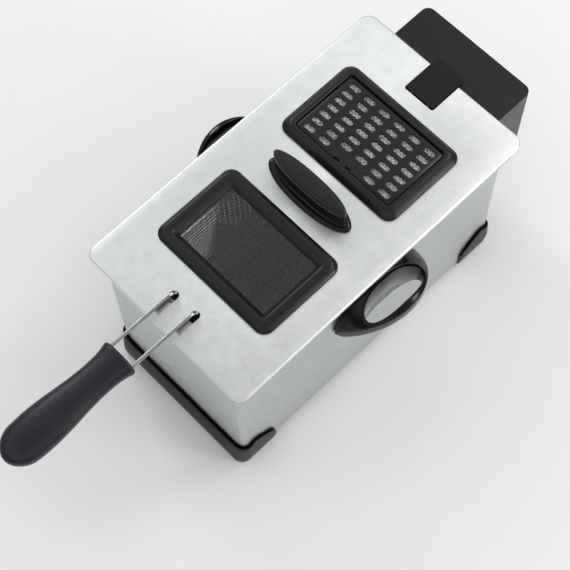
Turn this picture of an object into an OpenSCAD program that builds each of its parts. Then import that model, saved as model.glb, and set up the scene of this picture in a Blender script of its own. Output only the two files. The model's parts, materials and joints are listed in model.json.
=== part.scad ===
// Household deep fryer: steel housing, lift-out oil pot, hang-on control unit
// with an immersed heating element, wire basket and a lift-off steel lid.
// Lengths are millimetres. +Z is up, the basket grip points to -Y, and the origin
// is on the table under the middle of the whole footprint.

/* [Housing] */
// Outside width of the steel housing
body_w = 188; // [184:1:192]
// Outside length of the steel housing
body_l = 370; // [366:1:374]
// Height of the lower edge of the housing above the table
body_low = 9; // [8:0.5:10]
// Height of the top of the housing above the table
body_top = 222; // [221:0.5:222]
// Radius of the upright corners of the housing
body_r = 7; // [5:0.5:9]
// Thickness of the sheet steel
sheet = 0.8; // [0.6:0.1:0.8]

/* [Lid] */
// Width of the lid plate
lid_w = 216; // [212:1:220]
// Length of the lid plate
lid_l = 389; // [385:1:393]
// Height of the lid plate's upper face above the table
lid_top = 231; // [231:0.5:233]
// Corner radius of the lid plate
lid_r = 12; // [8:1:16]
// Depth of the turned-down edge of the lid plate
lid_edge = 4.2; // [3:0.1:4.2]
// Length of each wire slot from the lid's front edge
wire_slot_l = 37; // [36.5:0.5:39]
// Width of each wire slot
wire_slot_w = 8.5; // [7:0.5:10]
// Width of the notch over the control unit's neck
notch_w = 39; // [39:1:42]
// Length of that notch from the lid's rear edge
notch_l = 40; // [40:0.5:42]

/* [Window and filter] */
// Width of the window frame and of the filter frame
frame_w = 154; // [152:1:156]
// Length of the window frame, front to back
window_l = 104.6; // [103:0.2:106]
// Middle of the window frame, behind the middle of the lid
window_y = -81; // [-82:0.5:-80]
// Length of the filter frame, front to back
filter_l = 103.6; // [102:0.2:105]
// Middle of the filter frame, behind the middle of the lid
filter_y = 85.2; // [84:0.2:86]
// Corner radius of both frames
frame_r = 12; // [10:1:14]
// Height of the window frame above the lid
window_rise = 5.5; // [5:0.5:7]
// Height of the filter frame above the lid
filter_rise = 7.5; // [7:0.5:9]
// Rows of slots in the filter cover
slot_rows = 7; // [5:1:7]
// Columns of slots in the filter cover
slot_columns = 6; // [4:2:6]

/* [Basket] */
// Outside width of the basket
basket_w = 140; // [132:1:142]
// Place of the basket's front face, behind the middle of the housing
basket_front = -159; // [-159.5:0.5:-159]
// Place of the basket's rear face, behind the middle of the housing
basket_back = 126; // [110:1:127]
// Height of the underside of the basket above the table
basket_low = 96; // [94:1:110]
// Height of the basket's rim
basket_top = 215; // [210:1:215]
// Diameter of the two handle wires
wire_d = 4; // [3.5:0.1:4]
// Distance between the handle wires
wire_gap = 29; // [26:1:32]
// Height of the straight run of the handle wires
wire_z = 241; // [240:0.5:243]
// Place of the grip's end face, in front of the middle of the housing
grip_front = 241; // [238:1:246]
// Length of the grip
grip_l = 141; // [125:1:150]
// Thickness of the grip, top to bottom
grip_h = 24; // [22:1:28]

/* [Handles and feet] */
// Reach of each side handle from the middle of the housing
handle_reach = 140; // [134:1:146]
// Height of the arch of the side handles
handle_top = 199; // [194:1:203]
// Length of the side handles along the wall
handle_l = 122; // [112:1:130]
// Length of the finger hole in each side handle
finger_l = 78; // [70:1:84]
// Width of the finger hole in each side handle
finger_w = 31; // [26:1:31]
// Reach of the feet beyond the housing's ends
foot_reach = 8.5; // [6:0.5:10]
// Length of each foot along the side of the housing
foot_l = 47; // [40:1:55]
// Height of the bar between the front feet
bar_h = 32; // [28:1:36]
// Height of each foot beside the housing's corner
fin_h = 48; // [44:1:50]

/* [Control unit] */
// Width of the control unit
control_w = 144; // [136:1:150]
// Depth of the control unit, front to back
control_d = 56; // [54:1:62]
// Height of the underside of the control unit
control_low = 95; // [90:1:100]
// Diameter of the thermostat knob
knob_d = 38; // [32:1:42]
// Depth of the thermostat knob
knob_h = 15; // [12:1:18]
// Diameter of the heating element's tube
element_d = 6; // [5:0.1:6]

/* [Hidden] */
$fn = 64;

steel = [0.77, 0.77, 0.76];
bright_steel = [0.86, 0.86, 0.86];
dark_steel = [0.45, 0.45, 0.46];
black = [0.09, 0.09, 0.10];
soft_black = [0.13, 0.13, 0.14];
clear = [0.80, 0.86, 0.88, 0.4];
fleece = [0.88, 0.87, 0.82];
charcoal = [0.20, 0.20, 0.20];
rubber = [0.16, 0.16, 0.16];
brass = [0.80, 0.65, 0.30];
red = [0.75, 0.10, 0.08];
green = [0.15, 0.60, 0.20];

over = 1;                               // how far a cut runs past the face it opens
wall_x = body_w / 2;
wall_y = body_l / 2;
rear_end = wall_y + 4.5 + control_d + 0.8 + knob_h;
front_end = grip_front + grip_l;
middle_y = (front_end - rear_end) / 2;  // from the origin back to the middle of the housing

pot_wall = 1;
pot_w = 162;
pot_front = -168;
pot_back = 149;
pot_low = 62;
pot_r = 14;
pot_mid = (pot_front + pot_back) / 2;
pot_l = pot_back - pot_front;
rim_w = body_w - 4;
rim_l = body_l - 4;
rim_top = body_top + pot_wall;
flange_gap = 1.5;                       // room round the pot in the housing's top opening

lid_under = lid_top - sheet;
liner_gap = 0.1;
liner_t = 1;
window_hole = [140, 91];
filter_hole = [142, 92];
liner_hole = [152, 103];
pane = [126, 79];
pane_low = lid_top - 2;
pane_t = 3.2;
gasket_t = 0.8;
clamp_t = 2;
collar_slack = 0.6;
sight = [118, 71];                      // clear opening of the window
cover = [127, 79];
cover_t = 2.5;
cover_top = lid_top + filter_rise - 2;
cover_gap = 1;
tray_low = 217.5;
clamp_screw = [66.5, 20];
clamp_r = 1.5;
lid_handle_y = 2.5;
lid_handle_l = 110;
lid_handle_w = 34;
grip_top = lid_top + 30;
grip_screw_x = 30;
slot = [14, 6];
slot_pitch = [20.4, 10.65];
hinge_y = filter_y + cover[1] / 2 - 1.6;
hinge_z = cover_top - cover_t / 2;
hinge_r = 1.2;

wire_y = basket_front - wire_d / 2;
wire_bend = 8;
wire_low = 138;
mesh_t = 2;

control_y = wall_y + 4.5;
control_top = 226;
control_wall = 2.5;
control_back = control_y + control_d;
neck_w = 37;
neck_y = [156, control_y + 14];
neck_z = [223.4, 232];
element_z = 78;
element_y = 138;
element_x = 11;
hook_z = 226.6;
hook_bend = 12;
knob_at = [0, 178];
switch_at = [44, 150];
reset_at = [-44, 150];
lamp_z = 204;
lamp_x = 22;
inlet_at = [0, 118];
screw_r = 2;
screw_slack = 0.05;

base_low = 1.2;
base_screw = [80, 157];
pad_at = [81, 179];
pad_r = 8;
pad_top = 3;
shoe_t = 3.5;
foot_r = 8;                             // outer corner radius of the feet, seen from above
corner_h = 44;
tip_h = 24;

handle_mid = 3;
handle_t = 2.6;
handle_low = 144;
handle_screw = [26, 172];
handle_bulge = handle_reach - wall_x;
handle_rise = handle_top - handle_low - 2;
handle_plan_r = (handle_l * handle_l / 4 + handle_bulge * handle_bulge) / (2 * handle_bulge);
handle_arch_r = (handle_l * handle_l / 4 + handle_rise * handle_rise) / (2 * handle_rise);
droop = 13;                             // how far the handle's arch leans down outward, in degrees
finger_x = wall_x + 23.5;
underside = 42;                         // how far the handle's underside rises outward, in degrees
plate_t = 3;

// ---- Shared shapes ----

// Moves a piece from the middle of the housing to its place by the origin
module placed() {
    translate([0, middle_y, 0]) children();
}

// Flat rectangle with round corners, centred
module round_rect(w, l, r) {
    square([w - 2 * r, l], center = true);
    square([w, l - 2 * r], center = true);
    for (x = [-1, 1], y = [-1, 1])
        translate([x * (w / 2 - r), y * (l / 2 - r)]) circle(r);
}

// Upright slab with round corners, its underside at height z
module slab(w, l, r, z, h) {
    translate([0, 0, z]) linear_extrude(h) round_rect(w, l, r);
}

// Upright ring between two round-cornered outlines
module ring(outer, inner, r_out, r_in, z, h) {
    difference() {
        slab(outer[0], outer[1], r_out, z, h);
        slab(inner[0], inner[1], r_in, z - over, h + 2 * over);
    }
}

// Block from one corner to the opposite one
module block(low, high) {
    translate(low) cube(high - low);
}

// Rod along Y that starts at y and is l long, centred on [x, z]
module rod_y(at, y, l, r) {
    translate([at[0], y, at[1]]) rotate([-90, 0, 0]) cylinder(h = l, r = r);
}

// Rod along X that starts at x and is l long, centred on [y, z]
module rod_x(at, x, l, r) {
    translate([x, at[0], at[1]]) rotate([0, 90, 0]) cylinder(h = l, r = r);
}

// Pan-head screw along +Z whose head's top is at the origin and points down
module screw(r, l) {
    cylinder(h = r, r = 2 * r);
    translate([0, 0, r]) cylinder(h = l, r = r);
}

// Repeats its children at the four corners of a rectangle
module corners(x, y) {
    for (sx = [-1, 1], sy = [-1, 1]) translate([sx * x, sy * y, 0]) children();
}

// ---- Housing ----

module housing() {
    inside = [body_w - 2 * sheet, body_l - 2 * sheet];
    opening = [pot_w + 2 * flange_gap, pot_l + 2 * flange_gap];
    color(steel) placed() difference() {
        slab(body_w, body_l, body_r, body_low, body_top - body_low);
        slab(inside[0], inside[1], body_r - sheet, body_low - over,
             body_top - body_low - sheet + over);
        translate([0, pot_mid, 0])
            slab(opening[0], opening[1], pot_r + flange_gap, body_top - 2, 3);
        for (side = [-1, 1], y = [-1, 1])
            rod_x([handle_mid + y * handle_screw[0], handle_screw[1]],
                  side * wall_x - 2, 4, screw_r + screw_slack);
    }
}

module bottom_plate() {
    color(dark_steel) placed() difference() {
        slab(body_w - 2 * sheet - 0.4, body_l - 2 * sheet - 0.4, body_r - sheet,
             body_low, 1.2);
        corners(base_screw[0], base_screw[1])
            translate([0, 0, body_low - over]) cylinder(h = 4, r = screw_r + screw_slack);
        for (x = [-50 : 20 : 50], y = [-1, 1])
            translate([x, y * 60, body_low - over]) linear_extrude(4) round_rect(4, 60, 1.9);
    }
}

// ---- Feet ----

// Side view of a foot's flank, from the housing's end at x = 0 to its round end at x = l
module flank(l) {
    polygon([[0, base_low], [0, corner_h], [6, fin_h], [0.45 * l, fin_h - 3],
             [0.8 * l, tip_h + 7], [l - 2, tip_h], [l, tip_h - 4], [l, base_low]]);
}

// The bar under one end of the housing with its two feet, for the front end
module base_shoe() {
    outer_x = wall_x + shoe_t;
    outer_y = wall_y + foot_reach;
    difference() {
        union() {
            intersection() {
                slab(2 * outer_x, 2 * outer_y, foot_r, base_low, fin_h);
                union() {
                    // bar that slopes outward and down across the end wall
                    translate([-outer_x, 0, 0]) rotate([90, 0, 90]) linear_extrude(2 * outer_x)
                        polygon([[-wall_y, base_low], [-outer_y, base_low], [-outer_y, 9],
                                 [-outer_y + 1.2, 13], [-wall_y - 2, bar_h], [-wall_y, bar_h]]);
                    // ledge that the housing stands on
                    difference() {
                        block([-outer_x, -outer_y, base_low],
                              [outer_x, -wall_y + foot_l - 8, body_low]);
                        block([-base_screw[0] + 12, -wall_y + 12, 0],
                              [base_screw[0] - 12, 0, body_low + over]);
                    }
                }
            }
            for (side = [0, 1]) mirror([side, 0, 0]) {
                translate([wall_x, -wall_y, 0]) rotate([90, 0, 90])
                    linear_extrude(shoe_t) flank(foot_l - 6);
                // fill round the housing's upright corner
                intersection() {
                    difference() {
                        block([wall_x - body_r, -wall_y - 2, body_low],
                              [outer_x, -wall_y + body_r, corner_h]);
                        slab(2 * wall_x, 2 * wall_y, body_r, 0, fin_h);
                    }
                    slab(2 * outer_x, 2 * wall_y + 4, body_r + 2, 0, fin_h);
                }
            }
        }
        for (x = [-1, 1]) translate([x * base_screw[0], -base_screw[1], 0]) {
            translate([0, 0, -over]) cylinder(h = over + 4, r = 2 * screw_r + 0.2);
            cylinder(h = 20, r = screw_r + screw_slack);
        }
        for (x = [-1, 1]) translate([x * pad_at[0], -pad_at[1], -over])
            cylinder(h = pad_top + over, r = pad_r);
    }
}

module base_front() {
    color(black) placed() base_shoe();
}

module base_rear() {
    color(black) placed() rotate([0, 0, 180]) base_shoe();
}

module foot_pads() {
    color(rubber) placed() corners(pad_at[0], pad_at[1]) cylinder(h = pad_top, r = pad_r);
}

module base_screws() {
    color(dark_steel) placed() corners(base_screw[0], base_screw[1])
        translate([0, 0, 2]) screw(screw_r, 9);
}

// ---- Side handles ----

// Solid of the right-hand handle: arched on top, bulged in plan, flat below
module handle_body(plan_r, arch_r, low) {
    intersection() {
        translate([handle_reach - handle_plan_r, handle_mid, low]) cylinder(h = 90, r = plan_r);
        translate([wall_x, handle_mid, handle_top - handle_arch_r]) rotate([0, droop, 0])
            translate([-10, 0, 0]) rotate([0, 90, 0]) cylinder(h = 80, r = arch_r);
        block([wall_x, -wall_y, low], [handle_reach, wall_y, body_top]);
    }
}

// The right-hand handle: a shell open below, with a tunnel for the fingers and a wall plate.
// Its underside is level beside the wall and rises outward from there.
module side_handle() {
    difference() {
        union() {
            difference() {
                handle_body(handle_plan_r, handle_arch_r, handle_low);
                handle_body(handle_plan_r - handle_t, handle_arch_r - handle_t, handle_low - over);
            }
            intersection() {
                handle_body(handle_plan_r, handle_arch_r, handle_low);
                union() {
                    translate([finger_x, handle_mid, 0]) linear_extrude(300) rotate(90)
                        round_rect(finger_l + 2 * handle_t, finger_w + 2 * handle_t,
                                   finger_w / 2 + handle_t - 0.01);
                    block([wall_x, -wall_y, 0], [wall_x + plate_t, wall_y, body_top]);
                }
            }
        }
        translate([wall_x + 10, 0, handle_low]) rotate([0, -underside, 0])
            block([0, -wall_y, -100], [100, wall_y, 0]);
        translate([finger_x, handle_mid, 0]) linear_extrude(300) rotate(90)
            round_rect(finger_l, finger_w, finger_w / 2 - 0.01);
        for (y = [-1, 1])
            rod_x([handle_mid + y * handle_screw[0], handle_screw[1]],
                  wall_x - over, plate_t + 2 * over, screw_r + screw_slack);
    }
}

module side_handle_right() {
    color(black) placed() side_handle();
}

module side_handle_left() {
    color(black) placed() mirror([1, 0, 0]) side_handle();
}

module handle_screws() {
    color(dark_steel) placed() for (side = [0, 1], y = [-1, 1]) mirror([side, 0, 0])
        translate([wall_x - sheet - screw_r, handle_mid + y * handle_screw[0], handle_screw[1]])
            rotate([0, 90, 0]) screw(screw_r, sheet + plate_t - 0.4);
}

module badge() {
    color(bright_steel) placed() translate([-14, -wall_y, 66]) rotate([90, 0, 0])
        linear_extrude(1) round_rect(28, 9, 2);
}

// ---- Oil pot ----

module oil_pot() {
    inside = [pot_w - 2 * pot_wall, pot_l - 2 * pot_wall];
    color(dark_steel) placed() {
        difference() {
            union() {
                slab(rim_w, rim_l, body_r - 1, body_top, pot_wall);
                translate([0, pot_mid, 0])
                    slab(pot_w, pot_l, pot_r, pot_low, rim_top - pot_low);
            }
            translate([0, pot_mid, 0])
                slab(inside[0], inside[1], pot_r - pot_wall, pot_low + pot_wall, rim_top);
        }
        // lowest and highest oil level
        for (z = [130, 165])
            block([pot_w / 2 - pot_wall - 1, -40, z], [pot_w / 2 - pot_wall + 0.2, 0, z + 1.2]);
    }
}

// ---- Control unit ----

rail_x = [50, 56];
rail_z = [120, 200];

module control_rails() {
    color(steel) placed() for (side = [0, 1]) mirror([side, 0, 0])
        block([rail_x[0], wall_y, rail_z[0]], [rail_x[1], wall_y + 4, rail_z[1]]);
}

// Upright box that starts at y = 0 and has its two rear corners rounded
module back_rounded(w, l, r, z, h) {
    translate([0, 0, z]) linear_extrude(h) {
        translate([0, l / 2]) round_rect(w, l, r);
        translate([-w / 2, 0]) square([w, l / 2]);
    }
}

module control_housing() {
    inner_w = control_w - 2 * control_wall;
    color(black) placed() {
        difference() {
            translate([0, control_y, 0])
                back_rounded(control_w, control_d, 9, control_low, control_top - control_low);
            translate([0, control_y - over, 0])
                back_rounded(inner_w, control_d + over - control_wall, 6.5,
                             control_low + control_wall,
                             control_top - control_low - 2 * control_wall);
            block([-12, control_y + 3, control_top - 5], [12, control_y + 12, control_top + over]);
            rod_y(knob_at, control_back - 5, 10, 3.6);
            rod_y(reset_at, control_back - 5, 10, 3.8);
            for (x = [-1, 1]) rod_y([x * lamp_x, lamp_z], control_back - 5, 10, 3.5);
            translate([switch_at[0], control_back, switch_at[1]]) rotate([90, 0, 0])
                translate([0, 0, -5]) linear_extrude(10) round_rect(15, 21, 1);
            translate([inlet_at[0], control_back, inlet_at[1]]) rotate([90, 0, 0])
                translate([0, 0, -5]) linear_extrude(10) round_rect(28, 21, 2);
        }
        // posts for the screws of the inner plate
        corners_of_plate() difference() {
            rod_y([0, 0], control_wall, control_d - 2 * control_wall + 0.5, 4);
            rod_y([0, 0], 0, 14, 1.55);
        }
    }
}

// Repeats its children at the screws of the inner plate
module corners_of_plate() {
    for (x = [-1, 1], z = [control_low + 10, control_top - 10])
        translate([x * (control_w / 2 - 10), control_y, z]) children();
}

module control_inner_plate() {
    plate_w = control_w - 2 * control_wall - 0.4;
    plate_h = control_top - control_low - 2 * control_wall - 0.4;
    color(soft_black) placed() {
        difference() {
            translate([0, control_y + control_wall, (control_low + control_top) / 2])
                rotate([90, 0, 0]) linear_extrude(control_wall) round_rect(plate_w, plate_h, 2);
            corners_of_plate() rod_y([0, 0], -over, 5, 1.55);
        }
        // guides that slide down inside the housing's rails
        for (side = [0, 1]) mirror([side, 0, 0])
            block([rail_x[0] - 6, wall_y + 0.6, rail_z[0] + 5],
                  [rail_x[0] - 0.5, control_y + over, rail_z[1] - 5]);
    }
}

module control_screws() {
    color(dark_steel) placed() corners_of_plate()
        translate([0, -1.5, 0]) rotate([-90, 0, 0]) screw(1.5, 13);
}

// Neck over the pot's rim, bored for the element and the sensor tubes
module control_neck() {
    color(black) placed() difference() {
        union() {
            translate([0, (neck_y[0] + neck_y[1]) / 2, 0])
                slab(neck_w, neck_y[1] - neck_y[0], 3, control_top, neck_z[1] - control_top);
            translate([0, (neck_y[0] + control_y - 2) / 2, 0])
                slab(neck_w, control_y - 2 - neck_y[0], 3, neck_z[0], control_top - neck_z[0]);
        }
        for (x = [-1, 1]) {
            rod_y([x * element_x, hook_z], neck_y[0] - over, 30, element_d / 2 + 0.02);
            rod_y([x * sensor_x, hook_z], neck_y[0] - over, 30, sensor_d / 2 + 0.02);
        }
    }
}

// Tube that rises at y = element_y and bends back over the pot's rim
module hook_tube(x, r, low, end_y) {
    translate([x, element_y, low]) cylinder(h = hook_z - hook_bend - low, r = r);
    translate([x, element_y + hook_bend, hook_z - hook_bend]) rotate([90, 0, -90])
        rotate_extrude(angle = 90) translate([hook_bend, 0]) circle(r);
    rod_y([x, hook_z], element_y + hook_bend, end_y - element_y - hook_bend, r);
}

// Flat bend of the element's tube, from angle a on, about a point at height element_z
module element_bend(at, bend, a, sweep) {
    translate([at[0], at[1], element_z]) rotate(a)
        rotate_extrude(angle = sweep) translate([bend, 0]) circle(element_d / 2);
}

run_x = [15, 45];
run_front = -118;
run_back = 70;
cross_y = 110;

module heating_element() {
    r = element_d / 2;
    tight = 9;
    color(bright_steel) placed() {
        for (side = [0, 1]) mirror([side, 0, 0]) {
            hook_tube(element_x, r, element_z + tight, neck_y[0] + 28);
            // from the upright leg to the cross run
            translate([element_x, element_y - tight, element_z + tight]) rotate([90, 0, 90])
                rotate(-90) rotate_extrude(angle = 90) translate([tight, 0]) circle(r);
            rod_y([element_x, element_z], cross_y + tight, element_y - cross_y - 2 * tight, r);
            element_bend([element_x + tight, cross_y + tight], tight, 180, 90);
            rod_x([cross_y, element_z], element_x + tight, run_x[1] - element_x - 2 * tight, r);
            element_bend([run_x[1] - tight, cross_y - tight], tight, 0, 90);
            rod_y([run_x[1], element_z], run_front, cross_y - tight - run_front, r);
            element_bend([(run_x[0] + run_x[1]) / 2, run_front], (run_x[1] - run_x[0]) / 2, 180, 180);
            rod_y([run_x[0], element_z], run_front, run_back - run_front, r);
        }
        element_bend([0, run_back], run_x[0], 0, 180);
    }
}

sensor_x = 4;
sensor_d = 1.6;
bulb_d = 5;

module sensor_tubes() {
    color(bright_steel) placed() for (x = [-1, 1]) {
        translate([x * sensor_x, element_y, 112]) cylinder(h = 62, r = bulb_d / 2);
        hook_tube(x * sensor_x, sensor_d / 2, 174, neck_y[0] + 28);
    }
}

clip_z = [101, 185];

module element_clips() {
    color(steel) placed() for (z = clip_z) difference() {
        block([-16, element_y - 4.5, z], [16, element_y + 4.5, z + 5]);
        for (x = [-1, 1]) {
            translate([x * element_x, element_y, z - over])
                cylinder(h = 7, r = element_d / 2 + 0.02);
            translate([x * sensor_x, element_y, z - over])
                cylinder(h = 7, r = sensor_d / 2 + 0.02);
        }
    }
}

module element_bracket() {
    color(steel) placed() {
        block([-18, element_y + 4.5, 92], [18, element_y + 6, 210]);
        // ears that pass the tubes' bends and reach the neck
        for (side = [0, 1]) mirror([side, 0, 0]) {
            block([16.5, element_y + 4.5, 209], [18, element_y + 6, 228]);
            block([16.5, element_y + 4.5, neck_z[0]], [18, neck_y[0], 228]);
        }
    }
}

module thermostat() {
    color(steel) placed() difference() {
        block([knob_at[0] - 18, control_y + 14, knob_at[1] - 17],
              [knob_at[0] + 18, control_back - 9, knob_at[1] + 17]);
        rod_y(knob_at, control_back - 20, 12, 3.05);
    }
}

module thermostat_shaft() {
    color(brass) placed() rod_y(knob_at, control_back - 19, 29, 3);
}

module thermostat_knob() {
    color(black) placed() difference() {
        union() {
            rod_y(knob_at, control_back + 0.8, knob_h - 4, knob_d / 2);
            rod_y(knob_at, control_back + 0.8, knob_h, knob_d / 2 - 2.5);
        }
        rod_y(knob_at, control_back, 10.1, 3.02);
        // pointer line
        block([knob_at[0] - 0.8, control_back + knob_h, knob_at[1] + 4],
              [knob_at[0] + 0.8, control_back + knob_h + 2, knob_at[1] + 16]);
    }
}

module safety_cutout() {
    color(soft_black) placed() block([reset_at[0] - 12, control_y + 18, reset_at[1] - 12],
                                     [reset_at[0] + 12, control_back - 10, reset_at[1] + 12]);
}

module reset_button() {
    color(red) placed() rod_y(reset_at, control_back - 6, 8, 3.5);
}

module safety_switch() {
    color(soft_black) placed() block([34, control_y + 8, 196], [56, control_y + 18, 207]);
}

module terminal_block() {
    color(fleece) placed() difference() {
        block([24, control_y + 12, 104], [54, control_y + 24, 118]);
        for (x = [30, 39, 48]) rod_y([x, 111], control_y + 11, 14, 2);
    }
}

module power_inlet() {
    color(soft_black) placed() difference() {
        union() {
            translate([inlet_at[0], control_back, inlet_at[1]]) rotate([90, 0, 0])
                linear_extrude(20) round_rect(27.6, 20.6, 2);
            translate([inlet_at[0], control_back + 1.2, inlet_at[1]]) rotate([90, 0, 0])
                linear_extrude(1.2) round_rect(33, 25, 3);
        }
        translate([inlet_at[0], control_back + 2, inlet_at[1]]) rotate([90, 0, 0])
            linear_extrude(16) round_rect(24, 17, 2);
        for (x = [-7, 0, 7])
            block([inlet_at[0] + x - 1, control_back - 21, inlet_at[1] - 4],
                  [inlet_at[0] + x + 1, control_back, inlet_at[1]]);
    }
}

module inlet_pins() {
    color(brass) placed() for (x = [-7, 0, 7])
        block([inlet_at[0] + x - 1, control_back - 24, inlet_at[1] - 4],
              [inlet_at[0] + x + 1, control_back - 2, inlet_at[1]]);
}

// Round lamp with a domed front
module lamp(x) {
    placed() {
        rod_y([x, lamp_z], control_back - 8, 9, 3.45);
        rod_y([x, lamp_z], control_back, 1.4, 4.6);
    }
}

module power_lamp() {
    color(red) lamp(-lamp_x);
}

module ready_lamp() {
    color(green) lamp(lamp_x);
}

rocker_r = 8.8;
rocker_axis = control_back - 4;

module switch_bezel() {
    color(soft_black) placed() difference() {
        translate([switch_at[0], control_back + 1.2, switch_at[1]]) rotate([90, 0, 0]) {
            linear_extrude(1.2) round_rect(18, 25, 2);
            linear_extrude(18) round_rect(14.8, 20.8, 1);
        }
        translate([switch_at[0], control_back + 2, switch_at[1]]) rotate([90, 0, 0])
            linear_extrude(17) square([12, 18.2], center = true);
    }
}

// Rocker whose two faces meet in a shallow V over its pivot
module power_switch() {
    color(black) placed() translate([switch_at[0], rocker_axis, switch_at[1]])
        rotate([-8, 0, 0]) intersection() {
            rod_x([0, 0], -5.8, 11.6, rocker_r);
            translate([-6, 0, 0]) rotate([90, 0, 90]) linear_extrude(12)
                polygon([[-6, -5], [7, -12], [5.2, 0], [7, 12], [-6, 5]]);
        }
}

// ---- Basket ----

basket_mid = (basket_front + basket_back) / 2;
basket_l = basket_back - basket_front;
rim_d = 4;

module basket_mesh() {
    color(bright_steel) placed() translate([0, basket_mid, 0]) difference() {
        slab(basket_w, basket_l, 10, basket_low, basket_top - rim_d - basket_low);
        slab(basket_w - 2 * mesh_t, basket_l - 2 * mesh_t, 8, basket_low + mesh_t, 200);
    }
}

module basket_rim() {
    color(bright_steel) placed() translate([0, basket_mid, 0])
        ring([basket_w, basket_l], [basket_w - 2 * rim_d, basket_l - 2 * rim_d],
             10, 6, basket_top - rim_d, rim_d);
}

module handle_wires() {
    r = wire_d / 2;
    color(bright_steel) placed() for (x = [-1, 1] * wire_gap / 2) {
        translate([x, wire_y, wire_low]) cylinder(h = wire_z - wire_bend - wire_low, r = r);
        translate([x, wire_y - wire_bend, wire_z - wire_bend]) rotate([90, 0, 90])
            rotate_extrude(angle = 90) translate([wire_bend, 0]) circle(r);
        rod_y([x, wire_z], -grip_front - 20, grip_front + 20 + wire_y - wire_bend, r);
    }
}

module handle_bracket() {
    color(bright_steel) placed()
        block([-24, basket_front + mesh_t, 150],
              [24, basket_front + mesh_t + 1.5, basket_top - rim_d - 2]);
}

module handle_crossbar() {
    color(bright_steel) placed() {
        rod_x([wire_y, 150], -(wire_gap - wire_d) / 2, wire_gap - wire_d, wire_d / 2);
        // hook that rests on the pot's rim while the basket drains
        translate([0, wire_y - 2, 152]) {
            block([-4, 0, -1], [4, 1.2, 24]);
            block([-4, -3, 22.8], [4, 1.2, 24]);
        }
    }
}

// Half width of the grip at a share s of its length from the wires' end
function grip_half(s) = (20.3 - 2.3 * cos(360 * (s - 0.2)) + 1.2 * max(0, 1 - 10 * s))
    * sqrt(max(0, 1 - pow(max(0, (s - 0.84) / 0.16), 2)));

module basket_grip() {
    steps = 32;
    share = [for (i = [0 : steps]) sin(90 * i / steps)];
    side = [for (s = share) [grip_half(s), -s * grip_l]];
    color(soft_black) placed() translate([0, -grip_front, wire_z]) difference() {
        translate([0, 0, -grip_h / 2]) linear_extrude(grip_h)
            polygon(concat(side, [for (i = [steps - 1 : -1 : 0]) [-side[i][0], side[i][1]]]));
        for (x = [-1, 1]) rod_y([x * wire_gap / 2, 0], -21, 22, wire_d / 2 + 0.02);
    }
}

// ---- Lid ----

module lid_panel() {
    color(steel) placed() difference() {
        union() {
            slab(lid_w, lid_l, lid_r, lid_under, sheet);
            ring([lid_w, lid_l], [lid_w - 2 * sheet, lid_l - 2 * sheet], lid_r, lid_r - sheet,
                 lid_top - lid_edge, lid_edge);
        }
        translate([0, 0, lid_top - lid_edge - over]) linear_extrude(lid_edge + 2 * over) {
            translate([0, window_y]) round_rect(window_hole[0], window_hole[1], 8);
            translate([0, filter_y]) round_rect(filter_hole[0], filter_hole[1], 8);
            for (x = [-1, 1] * wire_gap / 2) translate([x, wire_slot_l - lid_l / 2]) {
                translate([0, -wire_slot_w / 2]) circle(wire_slot_w / 2);
                translate([-wire_slot_w / 2, -wire_slot_l - over])
                    square([wire_slot_w, wire_slot_l + over - wire_slot_w / 2]);
            }
            translate([0, lid_l / 2]) round_rect(notch_w, 2 * notch_l, 3);
            for (x = [-1, 1]) translate([x * grip_screw_x, lid_handle_y])
                circle(screw_r + screw_slack);
        }
    }
}

// Inner pan of the lid: its skirt stands on the pot's rim
module lid_liner() {
    outer = [rim_w - 6, rim_l - 16];
    top = lid_under - liner_gap;
    color(dark_steel) placed() difference() {
        union() {
            slab(outer[0], outer[1], 6, top - liner_t, liner_t);
            ring(outer, [outer[0] - 3, outer[1] - 3], 6, 4.5, rim_top, top - rim_top);
        }
        for (y = [window_y, filter_y]) translate([0, y, 0])
            slab(liner_hole[0], liner_hole[1], 9, rim_top - over, 10);
        block([-wire_gap / 2 - 8, -wall_y, rim_top - over],
              [wire_gap / 2 + 8, basket_front + 6, lid_top]);
        block([-neck_w / 2 - 3, element_y - 7, rim_top - over],
              [neck_w / 2 + 3, wall_y, lid_top]);
        for (x = [-1, 1]) translate([x * grip_screw_x, lid_handle_y, rim_top])
            cylinder(h = 10, r = screw_r + screw_slack);
    }
}

// Bevelled flange of a frame on the lid
module bevelled(w, l, r, rise, bevel) {
    hull() {
        slab(w, l, r, lid_top, 1.5, $fn = 32);
        slab(w - 2 * bevel, l - 2 * bevel, r - bevel, lid_top, rise, $fn = 32);
    }
}

module window_frame() {
    collar = window_hole - [collar_slack, collar_slack];
    collar_low = pane_low - gasket_t;
    color(black) placed() translate([0, window_y, 0]) difference() {
        union() {
            bevelled(frame_w, window_l, frame_r, window_rise, 5);
            slab(collar[0], collar[1], 8, collar_low, lid_top - collar_low + 0.5);
        }
        // seat of the pane, then the opening that widens upward
        slab(pane[0] + 0.6, pane[1] + 0.6, 4.3, collar_low - over,
             pane_low + pane_t - collar_low + over);
        hull() {
            slab(sight[0], sight[1], 3, lid_top + 0.5, 1, $fn = 32);
            slab(sight[0] + 12, sight[1] + 12, 8, lid_top + window_rise + 0.5, 1, $fn = 32);
        }
        corners(clamp_screw[0], clamp_screw[1])
            translate([0, 0, collar_low - over]) cylinder(h = 5, r = clamp_r + screw_slack);
    }
}

module window_glass() {
    color(clear) placed() translate([0, window_y, 0])
        slab(pane[0], pane[1], 4, pane_low, pane_t);
}

module window_gasket() {
    color(rubber) placed() translate([0, window_y, 0])
        ring(pane, sight, 4, 3, pane_low - gasket_t, gasket_t);
}

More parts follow.
